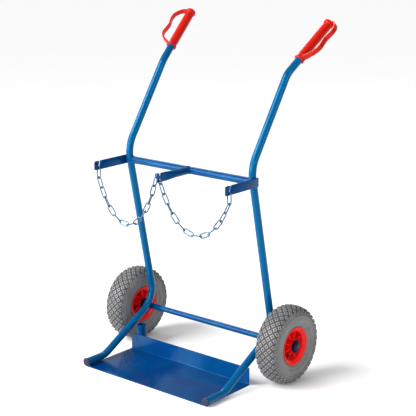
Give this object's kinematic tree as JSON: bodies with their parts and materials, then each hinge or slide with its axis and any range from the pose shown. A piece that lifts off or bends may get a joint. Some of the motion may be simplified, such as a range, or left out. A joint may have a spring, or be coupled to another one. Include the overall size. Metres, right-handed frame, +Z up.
{
  "type": "gas cylinder cart",
  "caption": "Two-wheeled hand truck for two gas cylinders: bent tube frame, toe plate, slotted arms with retaining chains, guarded grips.",
  "frame": {"origin": "on the floor under the middle of the cart's box, in the plane halfway between the wheels", "axes": "+X along the axle to the cart's right-hand wheel as seen from the front, -Y to the front where the cylinders stand, +Z up"},
  "size_m": [0.7528, 0.5985, 1.1555],
  "materials": {
    "powder_coat_blue": "gloss powder coat",
    "grip_red": "moulded",
    "rim_red": "gloss",
    "tyre_grey": "matte grey rubber",
    "black_rubber": "matte",
    "bush_black": "moulded",
    "cap_black": "gloss",
    "plug_dark": "moulded",
    "zinc_steel": "zinc plated"
  },
  "bodies": {
    "frame": {"frame_tube_left": "powder_coat_blue", "frame_tube_right": "powder_coat_blue", "crossbar": "powder_coat_blue", "axle_shaft": "powder_coat_blue", "arm_left": "powder_coat_blue", "arm_right": "powder_coat_blue", "arm_middle": "powder_coat_blue", "toe_plate": "powder_coat_blue", "rod_holder": "powder_coat_blue", "end_plug_left": "plug_dark", "end_plug_right": "plug_dark", "grip_left": "grip_red", "grip_right": "grip_red", "washer_left": "bush_black", "washer_right": "bush_black", "axle_cap_left": "cap_black", "axle_cap_right": "cap_black", "end_link_left": "zinc_steel", "end_link_right": "zinc_steel", "centre_link": "zinc_steel"},
    "wheel_left": {"tyre_left": "tyre_grey", "inner_tube_left": "black_rubber", "rim_outer_left": "rim_red", "rim_inner_left": "rim_red", "valve_left": "black_rubber", "bush_outer_left": "bush_black", "bush_inner_left": "bush_black"},
    "wheel_right": {"tyre_right": "tyre_grey", "inner_tube_right": "black_rubber", "rim_outer_right": "rim_red", "rim_inner_right": "rim_red", "valve_right": "black_rubber", "bush_outer_right": "bush_black", "bush_inner_right": "bush_black"},
    "chain_left": {"link_left_01": "zinc_steel", "link_left_02": "zinc_steel", "link_left_03": "zinc_steel", "link_left_04": "zinc_steel", "link_left_05": "zinc_steel", "link_left_06": "zinc_steel", "link_left_07": "zinc_steel", "link_left_08": "zinc_steel", "link_left_09": "zinc_steel", "link_left_10": "zinc_steel", "link_left_11": "zinc_steel", "link_left_12": "zinc_steel", "link_left_13": "zinc_steel"},
    "chain_right": {"link_right_01": "zinc_steel", "link_right_02": "zinc_steel", "link_right_03": "zinc_steel", "link_right_04": "zinc_steel", "link_right_05": "zinc_steel", "link_right_06": "zinc_steel", "link_right_07": "zinc_steel", "link_right_08": "zinc_steel", "link_right_09": "zinc_steel", "link_right_10": "zinc_steel", "link_right_11": "zinc_steel", "link_right_12": "zinc_steel"}
  },
  "joints": [
    {"name": "wheel_left_spin", "type": "hinge", "parent": "frame", "child": "wheel_left", "pos_m": [-0.332, 0.0317, 0.13], "axis": [1, 0, 0], "continuous": true},
    {"name": "wheel_right_spin", "type": "hinge", "parent": "frame", "child": "wheel_right", "pos_m": [0.332, 0.0317, 0.13], "axis": [1, 0, 0], "continuous": true},
    {"name": "chain_left_swing", "type": "hinge", "parent": "frame", "child": "chain_left", "pos_m": [-0.14526, -0.2048, 0.65734], "axis": [0.9859, -0.0261, 0.1653], "range_deg": [-25, 25]},
    {"name": "chain_right_swing", "type": "hinge", "parent": "frame", "child": "chain_right", "pos_m": [0.14044, -0.2048, 0.64642], "axis": [0.9963, 0.0255, -0.0817], "range_deg": [-25, 25]}
  ]
}
